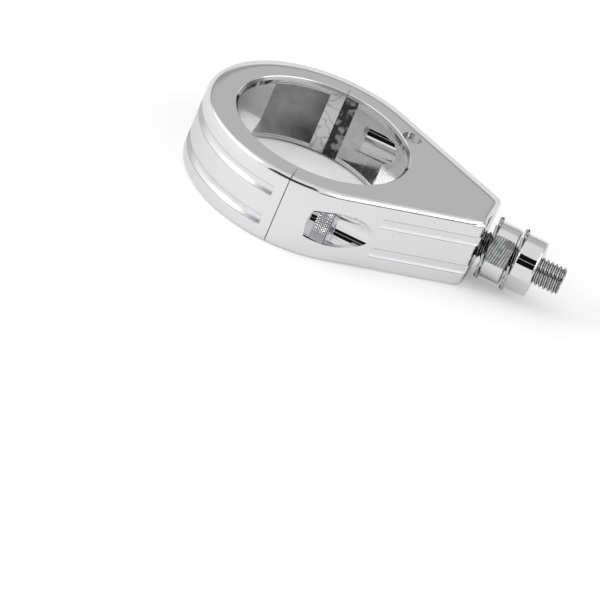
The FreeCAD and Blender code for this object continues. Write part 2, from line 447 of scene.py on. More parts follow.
def groove_group():
    """How deep a point lies under a crest, round an axis parallel to X."""
    inputs = {"Place": None, "Axis y": 0.0, "Crest": 0.004, "Depth": 0.0006}
    graph, entry, leave = new_group("groove_depth", inputs, ("Depth", "Flank"))
    _, y, z = graph.parts(entry["Place"])
    radius = graph.length(graph.minus(y, entry["Axis y"]), z)
    # 0 at the crest and 1 at the root; a bore's wall lies further in and gets no painted shade
    below = graph.ratio(graph.minus(entry["Crest"], radius), entry["Depth"])
    outside_bore = graph.ramp(below, low=1.3, high=1.6, start=1.0, end=0.0)
    graph.feed(leave["Depth"], graph.product(graph.ramp(below, low=0.15, high=1.0), outside_bore))
    graph.feed(leave["Flank"], graph.band(below, centre=0.5, half=0.4, soft=0.2))


def milling_group():
    """Cutter lines on the two wrench flats of a nut that is turned about X."""
    inputs = {"Place": None, "Turn": 0.0, "Flat": 0.0071, "Pitch": 0.0006, "Slant": 0.6}
    graph, entry, leave = new_group("milling", inputs, ("Mask", "Lines"))
    x, y, z = graph.parts(entry["Place"])
    cosine = graph.math("COSINE", entry["Turn"])
    sine = graph.math("SINE", entry["Turn"])
    out = graph.minus(graph.product(z, sine), graph.product(y, cosine))
    up = graph.plus(graph.product(z, cosine), graph.product(y, sine))
    from_flat = graph.off(graph.unsigned(out), entry["Flat"])
    graph.feed(leave["Mask"], graph.before(from_flat, FLAT_TOLERANCE, HAIR))
    wander = graph.noise(entry["Place"], scale=240.0, detail=2.0)
    run = graph.plus(x, graph.product(up, entry["Slant"]))
    run = graph.math("MULTIPLY_ADD", wander, CUTTER_WANDER, run)
    turns = graph.product(graph.ratio(run, entry["Pitch"]), math.tau)
    wave = graph.math("MULTIPLY_ADD", graph.math("SINE", turns), 0.5, 0.5)
    fade = graph.noise(entry["Place"], scale=700.0, detail=2.0)
    fade = graph.ramp(fade, low=0.35, high=0.6, start=0.25)
    graph.feed(leave["Lines"], graph.product(wave, fade))


def bore_group():
    """Distance from the tube's axis, and masks for past the bore, between the plates and its mouths."""
    inputs = {"Place": None, "Bore radius": 0.0245, "Half height": 0.0104, "Plate": 0.0021,
              "Mouth": 0.0008, "Mouth rim": 0.0001}
    outputs = ("Radius", "Past bore", "Between", "Mouth")
    graph, entry, leave = new_group("bore_zones", inputs, outputs)
    x, y, z = graph.parts(entry["Place"])
    radius = graph.length(x, y)
    past_wall = graph.minus(radius, entry["Bore radius"])
    under_face = graph.minus(entry["Half height"], graph.unsigned(z))
    plate_edge = graph.minus(entry["Plate"], CLOSE)
    near_bore = graph.before(graph.minus(past_wall, entry["Mouth"]), FINE, HAIR)
    in_mouth = graph.before(under_face, graph.plus(entry["Mouth"], HAIR), HAIR)
    below_rim = graph.past(under_face, graph.plus(entry["Mouth rim"], HAIR), HAIR)
    graph.feed(leave["Radius"], radius)
    graph.feed(leave["Past bore"], graph.past(past_wall, FINE + THIN, THIN))
    graph.feed(leave["Between"], graph.past(under_face, plate_edge, THIN))
    graph.feed(leave["Mouth"], graph.product(near_bore, in_mouth, below_rim))


def outside_groove_group():
    """Masks for the walls of the two outside grooves, and for painted shade in the split and along their
    edges.
    """
    inputs = {"Place": None, "Depth": 0.0, "Spacing": 0.0094, "Width": 0.0027, "Edge": 0.0002,
              "Edge share": 0.45, "Grooved": 1.0, "From split": 0.001}
    graph, entry, leave = new_group("outside_grooves", inputs, ("Walls", "Painted shade"))
    level = graph.unsigned(graph.parts(entry["Place"])[Z])
    from_groove = graph.off(level, graph.product(entry["Spacing"], 0.5))
    half_width = graph.product(entry["Width"], 0.5)
    half_edge = graph.product(entry["Edge"], 0.5)
    within = graph.before(from_groove, graph.plus(half_width, THIN), HAIR)
    cut = graph.band(entry["Depth"], GROOVE_MIDDLE, GROOVE_HALF, HAIR)
    # Painted shade: a darker line along each groove's edges stands for the dark reflection in their
    # rounding
    edge = graph.band(from_groove, graph.plus(half_width, half_edge), half_edge, THIN)
    outside = graph.before(entry["Depth"], SURFACE, SURFACE_SOFT)
    line = graph.product(edge, outside, entry["Grooved"], entry["Edge share"])
    # Painted shade: the split faces are darkened, as the gap between the two halves lies in shade
    split = graph.before(entry["From split"], HAIR, HAIR / 2)
    unshaded = graph.product(graph.rest(line), graph.rest(split))
    graph.feed(leave["Walls"], graph.product(within, cut))
    graph.feed(leave["Painted shade"], graph.rest(unshaded))


def buffed_group():
    """Height of plate edges that buffing has rounded, under the outline and under the plate's end."""
    inputs = {"Place": None, "Depth": 0.0, "End depth": FAR, "Half height": 0.0104,
              "Width": 0.0042, "Radius": 0.008}
    graph, entry, leave = new_group("buffed_rim", inputs, ("Height",))
    width = entry["Width"]
    total = 0.0
    for depth in (entry["Depth"], entry["End depth"]):
        short = graph.math("MAXIMUM", graph.minus(width, depth), 0.0)
        total = graph.math("MULTIPLY_ADD", short, short, total)
    full = graph.product(width, width)
    rise = graph.minus(full, graph.math("MINIMUM", total, full))
    rise = graph.ratio(rise, graph.product(entry["Radius"], 2.0))
    level = graph.unsigned(graph.parts(entry["Place"])[Z])
    under_face = graph.minus(entry["Half height"], level)
    on_plate = graph.before(under_face, BUFFED_DEPTH, BUFFED_SOFT)
    graph.feed(leave["Height"], graph.product(rise, on_plate))


# Materials

def new_material(name):
    """Metal with its shader, ready for colors, roughness and a bump."""
    material = bpy.data.materials.new(name)
    material.use_nodes = True
    graph = Graph(material.node_tree)
    shader = graph.add("ShaderNodeBsdfPrincipled")
    shader.inputs["Metallic"].default_value = 1.0
    output = graph.add("ShaderNodeOutputMaterial")
    graph.feed(output.inputs["Surface"], shader.outputs[0])
    return material, graph, shader.inputs


def shade(color, share):
    """A share of a color."""
    return [share * part for part in color]


def bore_zones(graph, place, casting, node):
    """Zones of one half round the tube's bore."""
    return graph.group(
        "bore_zones", Place=place, Bore_radius=casting.bore_radius, Half_height=reach(node, Z),
        Plate=casting.plate, Mouth=casting.mouth, Mouth_rim=casting.mouth_rim)


def outside_grooves(graph, place, casting, depth, grooved, from_split):
    """Walls of the outside grooves, and the painted shade along their edges and in the split."""
    return graph.group(
        "outside_grooves", Place=place, Depth=depth, Spacing=casting.groove_spacing,
        Width=casting.groove_width, Edge=casting.groove_edge, Grooved=grooved, From_split=from_split)


def chrome_normal(graph, place, casting, node, height, depth, end_depth=FAR):
    """Fine relief on top of the plates' edges that buffing has rounded, whose height is in metres."""
    rim = graph.group(
        "buffed_rim", Place=place, Depth=depth, End_depth=end_depth, Half_height=reach(node, Z),
        Width=casting.buffed_width, Radius=casting.buffed_radius)
    under = graph.relief(rim["Height"], distance=1.0)
    return graph.relief(height, distance=0.02 * MM, strength=0.35, under=under)


def chrome_height(graph, polish, ripple, pad, grain):
    """Polishing lines, the swells of the pads and the grain of the cast skin."""
    swell = graph.product(ripple["Swell"], pad, PAD_SWELL)
    return graph.plus(graph.plus(polish["Height"], swell), grain)


def front_chrome(plating, casting):
    """Polished outside, bosses and pads, satin cavity walls with blotches; painted dark reflections on the
    pads, and painted shade in the split, along the grooves' edges and in the bore's mouth chamfers.
    """
    material, graph, sockets = new_material("front_chrome")
    place = graph.place()
    x, y, z = graph.parts(place)
    side = graph.unsigned(y)
    zones = bore_zones(graph, place, casting, "front_body")
    from_axis = graph.length(graph.minus(side, abs(middle("right_screw", Y))), z)
    off_boss = graph.math("MAXIMUM", graph.past(from_axis, casting.boss_radius, FINE),
                          graph.before(x, casting.boss_start, SOFT))
    lean = casting.taper
    flank = graph.plus(graph.product(x, math.sin(lean)), graph.product(side, math.cos(lean)))
    on_flank = graph.past(x, casting.ring_radius * math.sin(lean), WIDE)
    depth = graph.minus(casting.ring_radius, graph.mix(on_flank, zones["Radius"], flank))
    inner = graph.past(depth, casting.wall + CLOSE, SOFT + CLOSE)
    before_nose = graph.before(x, casting.nose_start, 5 * SOFT)
    before_pad_end = graph.before(x, casting.pad_end + CLOSE, CLOSE)
    on_bore = graph.rest(zones["Past bore"])
    pad = graph.product(on_bore, before_pad_end)
    face = graph.product(on_bore, graph.rest(before_pad_end))
    walls = graph.product(zones["Past bore"], off_boss, inner, before_nose)
    satin = graph.product(zones["Between"], graph.math("MAXIMUM", walls, face))
    grooves = outside_grooves(graph, place, casting, depth,
                              grooved=graph.past(x, casting.front_groove_start, SOFT),
                              from_split=graph.minus(x, station("front_body", 0)))
    skin = graph.group("cast_skin", Place=place, Scale=150.0)
    polish = graph.group("polish", Place=place, Low=0.025, High=0.06, Scale=55.0)
    ripple = graph.group("ripple", Place=place, Scale=480.0)

    tone = graph.blend(skin["Blotch"], shade(plating.satin, 0.8), plating.satin)
    color = graph.blend(satin, plating.chrome, tone)
    # Painted shade in the split and along the grooves' edges
    color = graph.blend(grooves["Painted shade"], color, plating.shade_paint)
    # Painted reflection: the pads are painted dark with lighter patches, standing for the dark recess that
    # they mirror
    reflection_patches = graph.ramp(ripple["Swell"], low=0.46, high=0.64)
    pad_reflection = graph.blend(reflection_patches, plating.shade_paint, shade(plating.chrome, 0.42))
    color = graph.blend(pad, color, pad_reflection)
    # Painted shade: the mouth chamfer below its thin polished rim gets the darker turned color
    graph.feed(sockets["Base Color"], graph.blend(zones["Mouth"], color, plating.turned))

    blotch_rough, clear_rough, groove_rough = 0.2, 0.34, 0.36
    skin_rough = graph.mix(skin["Blotch"], blotch_rough, clear_rough)
    rough = graph.mix(satin, polish["Roughness"], skin_rough)
    graph.feed(sockets["Roughness"], graph.mix(grooves["Walls"], rough, groove_rough))
    grain = graph.product(skin["Grain"], satin, 0.5)
    height = chrome_height(graph, polish, ripple, pad, grain)
    from_nose = graph.minus(station("front_body", 1), x)
    normal = chrome_normal(graph, place, casting, "front_body", height, depth, from_nose)
    graph.feed(sockets["Normal"], normal)
    return material


def rear_chrome(plating, casting):
    """Polished outside and pads, dull recess that brightens towards the middle of the half; painted
    reflection lines on the pads, and painted shade in the split, along the grooves' edges and in the bore's
    mouth chamfers.
    """
    material, graph, sockets = new_material("rear_chrome")
    place = graph.place()
    x = graph.parts(place)[X]
    zones = bore_zones(graph, place, casting, "rear_cap")
    before_recess = graph.past(x, casting.recess_start, CLOSE)
    in_recess = graph.before(x, casting.recess_start, CLOSE)
    under_wall = graph.before(zones["Radius"], casting.recess_radius, WIDE)
    recess = graph.product(zones["Between"], zones["Past bore"], under_wall, in_recess)
    pad = graph.product(graph.rest(zones["Past bore"]), before_recess)
    dull = graph.past(x, casting.recess_end, SOFT)
    depth = graph.minus(casting.ring_radius, zones["Radius"])
    from_split = graph.minus(station("rear_cap", 1), x)
    grooves = outside_grooves(graph, place, casting, depth,
                              grooved=graph.past(from_split, casting.rear_groove_stop, SOFT),
                              from_split=from_split)
    skin = graph.group("cast_skin", Place=place, Scale=120.0)
    polish = graph.group("polish", Place=place, Low=0.025, High=0.06, Scale=55.0)
    ripple = graph.group("ripple", Place=place, Scale=300.0, Width=0.05)

    clear = graph.blend(dull, plating.chrome, plating.dull)
    blotches = graph.blend(dull, shade(plating.chrome, 0.85), shade(plating.dull, 0.72))
    color = graph.blend(recess, plating.chrome, graph.blend(skin["Blotch"], blotches, clear))
    # Painted shade in the split and along the grooves' edges
    color = graph.blend(grooves["Painted shade"], color, plating.shade_paint)
    # Painted reflection: wavering darker lines on the pads stand for the wavy reflections of a polished
    # surface
    pad_reflection = graph.blend(ripple["Line"], plating.chrome, shade(plating.chrome, 0.7))
    color = graph.blend(pad, color, pad_reflection)
    # Painted shade: the mouth chamfer below its thin polished rim gets the darker turned color
    graph.feed(sockets["Base Color"], graph.blend(zones["Mouth"], color, plating.turned))

    bright_rough, dull_rough, groove_rough = 0.3, 0.45, 0.3
    rough = graph.mix(recess, polish["Roughness"], graph.mix(dull, bright_rough, dull_rough))
    graph.feed(sockets["Roughness"], graph.mix(grooves["Walls"], rough, groove_rough))
    grain = graph.product(skin["Grain"], recess, 0.8)
    height = chrome_height(graph, polish, ripple, pad, grain)
    normal = chrome_normal(graph, place, casting, "rear_cap", height, depth)
    graph.feed(sockets["Normal"], normal)
    return material


def grooved_metal(name, color, shade_paint, axis_y, crest, depth, low, high):
    """Plated metal with painted shade that darkens it towards the bottom of its thread or knurl."""
    material, graph, sockets = new_material(name)
    place = graph.place()
    # Painted shade: the color darkens with depth under the crest
    deep = graph.group("groove_depth", Place=place, Axis_y=axis_y, Crest=crest, Depth=depth)["Depth"]
    polish = graph.group("polish", Place=place, Low=low, High=high, Scale=420.0)
    graph.feed(sockets["Base Color"], graph.blend(deep, color, shade_paint))
    graph.feed(sockets["Roughness"], polish["Roughness"])
    graph.feed(sockets["Normal"], graph.relief(polish["Height"], distance=0.01 * MM, strength=0.4))
    return material


def stud_metal(plating, crest, depth, gap_end):
    """Plated thread whose flanks carry painted shade, with darker painted shade where it lies between the
    nose and the outer nut.
    """
    material, graph, sockets = new_material("stud_thread")
    place = graph.place()
    flank = graph.group("groove_depth", Place=place, Crest=crest, Depth=depth)["Flank"]
    polish = graph.group("polish", Place=place, Low=0.08, High=0.2, Scale=420.0)
    # Painted shade: the flanks are painted dark, and the thread up to the outer nut's middle darker still,
    # where it lies in the gaps between nose, washers and nuts
    in_gap = graph.before(graph.parts(place)[X], gap_end, SOFT)
    color = graph.blend(flank, shade(plating.chrome, 0.82), shade(plating.shade_paint, 3.2))
    gap_shade = graph.blend(flank, shade(plating.chrome, 0.3), shade(plating.shade_paint, 0.6))
    graph.feed(sockets["Base Color"], graph.blend(in_gap, color, gap_shade))
    graph.feed(sockets["Roughness"], polish["Roughness"])
    graph.feed(sockets["Normal"], graph.relief(polish["Height"], distance=0.01 * MM, strength=0.4))
    return material


def washer_metal(plating):
    """Zinc plate: bright, a little cloudy."""
    material, graph, sockets = new_material("washer_zinc")
    place = graph.place()
    skin = graph.group("cast_skin", Place=place, Scale=420.0)
    polish = graph.group("polish", Place=place, Low=0.1, High=0.22, Scale=500.0)
    color = graph.blend(skin["Blotch"], shade(plating.zinc, 0.93), plating.zinc)
    graph.feed(sockets["Base Color"], color)
    graph.feed(sockets["Roughness"], polish["Roughness"])
    graph.feed(sockets["Normal"], graph.relief(skin["Grain"], distance=0.001 * MM, strength=0.2))
    return material


def nut_metal(name, plating, turn, flat, milled):
    """Polished round nut; milled says how much of the cutter's marks its two flats show."""
    material, graph, sockets = new_material(name)
    place = graph.place()
    polish = graph.group("polish", Place=place, Low=0.03, High=0.07, Scale=120.0)
    milling = graph.group("milling", Place=place, Turn=turn, Flat=flat, Pitch=0.72 * MM, Slant=-0.15)
    marked = graph.product(milling["Mask"], milled)
    lines = graph.product(milling["Lines"], marked)
    flat_tone = graph.blend(lines, shade(plating.chrome, 0.3), plating.chrome)
    graph.feed(sockets["Base Color"], graph.blend(marked, plating.chrome, flat_tone))
    polish_share, flat_rough = 0.1, 0.5
    graph.feed(sockets["Roughness"], graph.mix(marked, polish["Roughness"], flat_rough))
    height = graph.math("MULTIPLY_ADD", polish["Height"], polish_share, lines)
    graph.feed(sockets["Normal"], graph.relief(height, distance=0.05 * MM, strength=0.7))
    return material


def floor_paint(color, lift):
    """Pale matt floor with a faint mottle, lifted a little where the camera sees it."""
    material, graph, sockets = new_material("studio_floor")
    sockets["Metallic"].default_value = 0.0
    sockets["Specular IOR Level"].default_value = 0.2
    place = graph.place()
    mottle = graph.noise(place, scale=3.0, detail=2.0)
    graph.feed(sockets["Base Color"], graph.blend(mottle, shade(color, 0.985), color))
    sockets["Roughness"].default_value = 0.7
    sockets["Emission Color"].default_value = (1, 1, 1, 1)
    seen = graph.add("ShaderNodeLightPath").outputs["Is Camera Ray"]
    graph.feed(sockets["Emission Strength"], graph.product(seen, lift))
    return material


# Meshes

def new_piece(name, points, faces, material, nodes, sharp_angle=math.radians(30)):
    """Piece made of points and faces, smooth but for its sharp edges, which stands for solids."""
    mesh = bpy.data.meshes.new(name)
    mesh.from_pydata([tuple(p) for p in points], [], faces)
    mesh.validate()
    mesh.polygons.foreach_set("use_smooth", [True] * len(mesh.polygons))
    mesh.set_sharp_from_angle(angle=sharp_angle)
    mesh.materials.append(material)
    piece = bpy.data.objects.new(name, mesh)
    bpy.context.scene.collection.objects.link(piece)
    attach(piece, "root")
    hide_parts(*nodes)
    return piece


def skin_rings(rings, closed=False):
    """Points, and faces between rings of equal count, which end in a fan or close into a loop."""
    count = len(rings[0])
    last = len(rings) - 1
    points = [point for row in rings for point in row]
    pairs = [(row, row + 1) for row in range(last)]
    if closed:
        pairs.append((last, 0))
    faces = []
    for row, following in pairs:
        for step in range(count):
            other = (step + 1) % count
            faces.append((row * count + step, row * count + other,
                          following * count + other, following * count + step))
    if not closed:
        faces.append(tuple(range(count - 1, -1, -1)))
        faces.append(tuple(range(last * count, (last + 1) * count)))
    return points, faces


def ring(x, radius, angles, axis_y=0.0):
    """Ring of points across X, at one radius or a radius for each angle."""
    made = []
    for angle in angles:
        r = radius(angle) if callable(radius) else radius
        made.append((x, axis_y + r * math.cos(angle), r * math.sin(angle)))
    return made


def even_angles(count):
    return [math.tau * step / count for step in range(count)]


# Shares of half a pitch that a thread's root and its flank take
ROOT_SHARE = 0.2
FLANK_SHARE = 0.55


def thread_radius(x, angle, crest, depth, pitch):
    """Radius of a helix with straight flanks and small lands at crest and root."""
    phase = (x / pitch - angle / math.tau) % 1.0
    height = 2 * abs(phase - 0.5)
    height = min(max((height - ROOT_SHARE) / FLANK_SHARE, 0.0), 1.0)
    return crest - depth * (1 - height)


def spaced(start, end, count):
    """Places from start to end, with count equal steps between them."""
    return [start + (end - start) * step / count for step in range(count + 1)]


def thread_rings(places, tip, chamfer, crest, depth, pitch, angles, axis=0.0):
    """Rings of a thread at places along X, which a chamfer cuts down towards its tip."""
    made = []
    for x in places:
        limit = crest - max(0.0, chamfer - abs(tip - x))

        def radius(angle, x=x, limit=limit):
            return min(thread_radius(x, angle, crest, depth, pitch), limit)

        made.append(ring(x, radius, angles, axis))
    return made


# Operators

def radians(*values):
    return tuple(math.radians(value) for value in values)


# Fixed angles of the light tent; a patch has half sizes along azimuth and elevation
TENT_RISE = radians(10, 80)
LEFT_HALF = radians(45, 28)
LEFT_SOFT, SIDE_SOFT, GAP_SOFT, HOOD_SOFT = radians(10, 4, 1.5, 0.8)
GAP_TURN = math.radians(14)
WALL_FOOT = radians(9, 18)
WALL_HEAD = radians(20, 27)
WALL_TOP = radians(48, 66)
WALL_SIDES = (0.3, 0.62)
FLOOR_GAP = 0.02 * MM


class TUBECLAMP_OT_stage(bpy.types.Operator):
    """Floor, camera and light tent"""

    bl_idname = "tubeclamp.stage"
    bl_label = "Stage"

    def execute(self, context):
        studio = context.scene.tubeclamp_studio
        self.add_floor(context, studio)
        self.add_camera(context, studio)
        self.add_tent(context, studio)
        self.add_fill(context, studio)
        return {"FINISHED"}

    def add_floor(self, context, studio):
        half = studio.floor_width / 2
        level = CAD_BOUNDS[0][Z] - FLOOR_GAP
        corners = [(x * half, y * half, level) for x, y in ((-1, -1), (1, -1), (1, 1), (-1, 1))]
        mesh = bpy.data.meshes.new("floor")
        mesh.from_pydata(corners, [], [(0, 1, 2, 3)])
        mesh.materials.append(floor_paint(studio.floor_color, studio.floor_lift))
        floor = bpy.data.objects.new("floor", mesh)
        context.scene.collection.objects.link(floor)

    def add_camera(self, context, studio):
        """Camera turned by the three directions that were fitted to the photo."""
        right = Vector((0.897759, 0.269618, 0.348333))
        down = Vector((0.434713, -0.414679, -0.799416))
        forward = Vector((-0.07109, 0.869107, -0.489488))
        data = bpy.data.cameras.new("camera")
        data.lens = studio.lens
        data.sensor_width = 36.0
        data.clip_end = 20.0
        camera = bpy.data.objects.new("camera", data)
        turn = Matrix((right, -down, -forward)).transposed().to_4x4()
        camera.matrix_world = Matrix.Translation(studio.camera_place) @ turn
        context.scene.collection.objects.link(camera)
        context.scene.camera = camera

    def add_tent(self, context, studio):
        """World that is white to the camera, and a tent with lights and dark fields to the clamp."""
        world = bpy.data.worlds.new("light_tent")
        world.use_nodes = True
        graph = Graph(world.node_tree)
        x, y, z = graph.parts(graph.add("ShaderNodeTexCoord").outputs["Generated"])
        azimuth = graph.math("ARCTAN2", x, graph.product(y, -1.0))
        elevation = graph.math("ARCSINE", z)
        tent = graph.ramp(elevation, *TENT_RISE, studio.tent_low, studio.tent_high)

        def lay_patch(under, tone, middle_place, half, soft):
            """Patch of another tone on the tent; middle and half sizes along azimuth and elevation."""
            across = graph.band(azimuth, middle_place[0], half[0], soft)
            upwards = graph.band(elevation, middle_place[1], half[1], soft)
            return graph.mix(graph.product(across, upwards), under, tone)

        tent = lay_patch(tent, studio.left_light, (studio.left_azimuth, studio.side_elevation),
                         LEFT_HALF, LEFT_SOFT)
        tent = lay_patch(tent, studio.side_light, (studio.side_azimuth, studio.side_elevation),
                         (studio.side_half_width, studio.side_half_height), SIDE_SOFT)
        wall = graph.ramp(elevation, *WALL_HEAD, studio.rear_low, studio.rear_high)
        wall = graph.mix(graph.ramp(elevation, *WALL_FOOT), studio.rear_foot, wall)
        behind = graph.product(graph.ramp(y, *WALL_SIDES), graph.ramp(elevation, *WALL_TOP, 1.0, 0.0))
        tent = graph.mix(behind, tent, wall)
        tent = lay_patch(tent, studio.gap_tone,
                         (studio.side_azimuth - GAP_TURN, studio.gap_elevation),
                         (studio.side_half_width, studio.gap_half_height), GAP_SOFT)
        slit = graph.band(elevation, studio.hood_elevation, studio.slit_half_height, HOOD_SOFT / 2)
        hood = graph.mix(slit, studio.hood_tone, studio.slit_tone)
        tent = lay_patch(tent, hood, (studio.hood_azimuth, studio.hood_elevation),
                         (studio.hood_half_width, studio.hood_half_height), HOOD_SOFT)
        seen = graph.add("ShaderNodeLightPath").outputs["Is Camera Ray"]
        strength = graph.mix(seen, tent, 1.0)
        background = graph.add("ShaderNodeBackground")
        background.inputs["Color"].default_value = (1, 1, 1, 1)
        graph.feed(background.inputs["Strength"], strength)
        output = graph.add("ShaderNodeOutputWorld")
        graph.feed(output.inputs["Surface"], background.outputs[0])
        context.scene.world = world
        context.scene.view_settings.view_transform = "Standard"

    def add_fill(self, context, studio):
        """Small light from the left, which brightens the floor that the rear half mirrors."""
        data = bpy.data.lights.new("fill", "AREA")
        data.energy = studio.fill_power
        data.size = studio.fill_size
        fill = bpy.data.objects.new("fill", data)
        fill.location = studio.fill_place
        aim = Vector(studio.fill_aim) - Vector(studio.fill_place)
        fill.rotation_euler = aim.to_track_quat("-Z", "Y").to_euler()
        context.scene.collection.objects.link(fill)


class TUBECLAMP_OT_halves(bpy.types.Operator):
    """Chrome of the two clamp halves"""

    bl_idname = "tubeclamp.halves"
    bl_label = "Clamp halves"

    def execute(self, context):
        plating = context.scene.tubeclamp_plating
        casting = context.scene.tubeclamp_casting
        finish_solid("front_body", front_chrome(plating, casting))
        finish_solid("rear_cap", rear_chrome(plating, casting))
        return {"FINISHED"}


def finish_solid(node, material):
    """Material and even shading for a solid that is shown as it is."""
    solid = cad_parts[node]
    solid.data.materials.clear()
    solid.data.materials.append(material)
    weigh = solid.modifiers.new("even_normals", "WEIGHTED_NORMAL")
    weigh.weight = 100
    weigh.keep_sharp = True


class TUBECLAMP_OT_screws(bpy.types.Operator):
    """Knurled clamp screws with their hex sockets and threads"""

    bl_idname = "tubeclamp.screws"
    bl_label = "Clamp screws"

    def execute(self, context):
        plating = context.scene.tubeclamp_plating
        threads = context.scene.tubeclamp_threads
        for side in ("left", "right"):
            node = side + "_screw"
            # Painted shade darkens the screws towards the bottom of their thread and knurl
            material = grooved_metal(
                side + "_screw_steel", plating.steel, plating.shade_paint, axis_y=middle(node, Y),
                crest=reach(node, Z), depth=threads.knurl_depth * 1.2, low=0.16, high=0.3)
            points, faces = self.screw(node, threads)
            new_piece(side + "_knurled_screw", points, faces, material, [node])
        return {"FINISHED"}

    def screw(self, node, threads):
        """Threaded shank, knurled head and hex socket as rings, from the tip to the socket's bottom."""
        axis = middle(node, Y)
        tip, end = station(node, 0), station(node, 1)
        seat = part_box(node.replace("screw", "spring_washer"))[1][X]
        points_per_knurl = 5
        angles = even_angles(threads.knurl_count * points_per_knurl)
        rings = self.shank(tip, seat, axis, angles, threads)
        rings += self.head(seat, end, axis, reach(node, Z), angles, threads)
        rings += self.socket(end, axis, angles)
        return skin_rings(rings)

    def shank(self, tip, seat, axis, angles, threads):
        """Rings of the threaded part, from the tip to the seat under the head."""
        radius, chamfer, lead = 3.0 * MM, 0.6 * MM, 0.1 * MM
        rows_per_turn = 6
        rows = int((seat - tip) / threads.screw_pitch * rows_per_turn)
        rings = thread_rings(spaced(tip + lead, seat, rows), tip, chamfer, radius,
                             threads.screw_depth, threads.screw_pitch, angles, axis)
        return [ring(tip, radius - chamfer, angles, axis)] + rings

    def head(self, seat, end, axis, head, angles, threads):
        """Rings of the head, whose knurl is two sets of crossing grooves."""
        lower_edge, upper_edge, plain = 0.15 * MM, 0.4 * MM, 0.25 * MM
        rim_height, rim_step, rim_width = 0.08 * MM, 0.02 * MM, 0.15 * MM
        rows, steepness = 30, 1.6
        start = seat + plain
        stop = end - upper_edge
        pitch = math.tau * head / threads.knurl_count
        rings = [ring(seat, head - lower_edge, angles, axis)]
        for x in spaced(start, stop, rows):
            def radius(angle, x=x):
                share = angle / math.tau * threads.knurl_count
                left = 2 * abs((share + (x - start) / pitch) % 1.0 - 0.5)
                right = 2 * abs((share - (x - start) / pitch) % 1.0 - 0.5)
                return head - threads.knurl_depth * (1 - min(1.0, steepness * min(left, right)))

            rings.append(ring(x, radius, angles, axis))
        rings.append(ring(end - rim_height, head - upper_edge - rim_step, angles, axis))
        rings.append(ring(end, head - upper_edge - rim_width, angles, axis))
        return rings

    def socket(self, end, axis, angles):
        """Rings of the hex socket, down to the cone at its bottom."""
        across, depth, chamfer = 2.0 * MM, 2.3 * MM, 0.12 * MM
        cone_depth, cone_end = 0.4 * MM, 0.3 * MM
        half_side = math.radians(30)

        def hexagon(grow):
            def radius(angle):
                lean = (angle + half_side) % (2 * half_side) - half_side
                return (across + grow) / math.cos(lean)
            return radius

        return [
            ring(end, hexagon(chamfer), angles, axis),
            ring(end - chamfer, hexagon(0.0), angles, axis),
            ring(end - depth, hexagon(0.0), angles, axis),
            ring(end - depth - cone_depth, cone_end, angles, axis),
        ]


class TUBECLAMP_OT_spring_washers(bpy.types.Operator):
    """Polished plating of the split spring washers"""

    bl_idname = "tubeclamp.spring_washers"
    bl_label = "Spring washers"

    def execute(self, context):
        plating = context.scene.tubeclamp_plating
        for side in ("left", "right"):
            node = side + "_spring_washer"
            # Painted shade darkens the washers from their rim inwards
            material = grooved_metal(
                node + "_plate", plating.zinc, plating.shade_paint, axis_y=middle(node, Y),
                crest=reach(node, Z), depth=3.0 * MM, low=0.05, high=0.12)
            finish_solid(node, material)
        return {"FINISHED"}


class TUBECLAMP_OT_stud(bpy.types.Operator):
    """Hollow stud with its thread cut as a helix"""

    bl_idname = "tubeclamp.stud"
    bl_label = "Threaded stud"

    def execute(self, context):
        plating = context.scene.tubeclamp_plating
        threads = context.scene.tubeclamp_threads
        crest = reach("stud", Z)
        # Painted shade darkens the thread up to the outer nut's middle
        material = stud_metal(plating, crest, threads.stud_depth, middle("outer_nut", X))
        points, faces = self.tube(crest, threads)
        new_piece("threaded_stud", points, faces, material, ["stud"],
                  sharp_angle=math.radians(50))
        return {"FINISHED"}

    def tube(self, crest, threads):
        """Thread outside and plain bore inside, as rings that close into a loop."""
        start, end = station("stud", 0), station("stud", 1)
        bore, chamfer, bore_chamfer = 2.6 * MM, 0.7 * MM, 0.25 * MM
        angles = even_angles(96)
        rows_per_turn = 12
        rows = int((end - start) / threads.stud_pitch * rows_per_turn)
        rings = thread_rings(spaced(start, end, rows), end, chamfer, crest,
                             threads.stud_depth, threads.stud_pitch, angles)
        rings.append(ring(end, bore + bore_chamfer, angles))
        rings.append(ring(end - bore_chamfer, bore, angles))
        rings.append(ring(start, bore, angles))
        return skin_rings(rings, closed=True)


